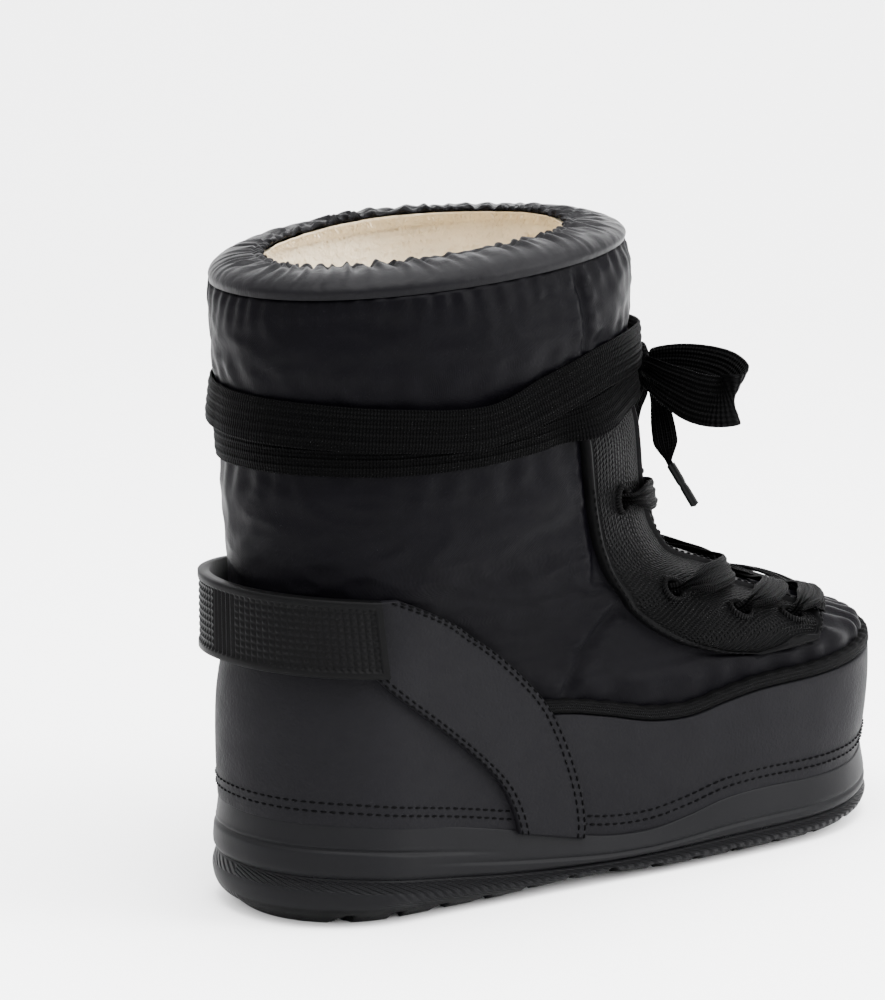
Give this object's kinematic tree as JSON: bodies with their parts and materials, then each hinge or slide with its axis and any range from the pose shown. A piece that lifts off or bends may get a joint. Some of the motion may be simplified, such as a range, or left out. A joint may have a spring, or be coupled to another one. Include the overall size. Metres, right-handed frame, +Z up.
{
  "type": "apres ski boot",
  "caption": "Padded nylon snow boot for the right foot with a rubberised rand, a heel strap, side eyestays, a gathered collar cuff and a flat lace wrapped round the ankle and tied in a bow.",
  "frame": {"origin": "On the ground, under the middle of the heel, where the tread's flat heel rests.", "axes": "+X points to the toe, +Y to the inner side of the foot, +Z up. A right boot: its outer side faces -Y."},
  "size_m": [0.2955, 0.1255, 0.2478],
  "materials": {
    "nylon": "padded near-black satin nylon with fine gathers",
    "rand_leather": "matte charcoal rubberised leather with double stitching",
    "sole_rubber": "satin charcoal moulded rubber",
    "trim_rubber": "matte moulded rubber with a fine grid",
    "tape": "black braided tape",
    "lace": "black flat braided lace with lengthwise ridges",
    "lining": "cream pile lining",
    "aglet": "black moulded tip"
  },
  "bodies": {
    "root": {"outsole": "sole_rubber", "midsole": "sole_rubber", "insole": "lining", "upper": "nylon", "collar_cuff": "nylon", "toe_rand": "rand_leather", "rand_binding": "tape", "heel_counter": "rand_leather", "heel_strap": "trim_rubber", "side_panel_outer": "rand_leather", "side_panel_inner": "rand_leather", "eyestay_outer": "trim_rubber", "eyestay_inner": "trim_rubber", "eyelet_outer_1": "trim_rubber", "eyelet_outer_2": "trim_rubber", "eyelet_outer_3": "trim_rubber", "eyelet_outer_4": "trim_rubber", "eyelet_inner_1": "trim_rubber", "eyelet_inner_2": "trim_rubber", "eyelet_inner_3": "trim_rubber", "eyelet_inner_4": "trim_rubber", "lace_wrap_low": "lace", "lace_wrap_high": "lace", "lace_crossing_1": "lace", "lace_crossing_2": "lace", "lace_crossing_3": "lace", "lace_crossing_4": "lace", "lace_knot": "lace", "lace_loop_outer": "lace", "lace_loop_inner": "lace", "lace_end_outer": "lace", "lace_end_inner": "lace", "aglet_outer": "aglet", "aglet_inner": "aglet"}
  },
  "joints": []
}
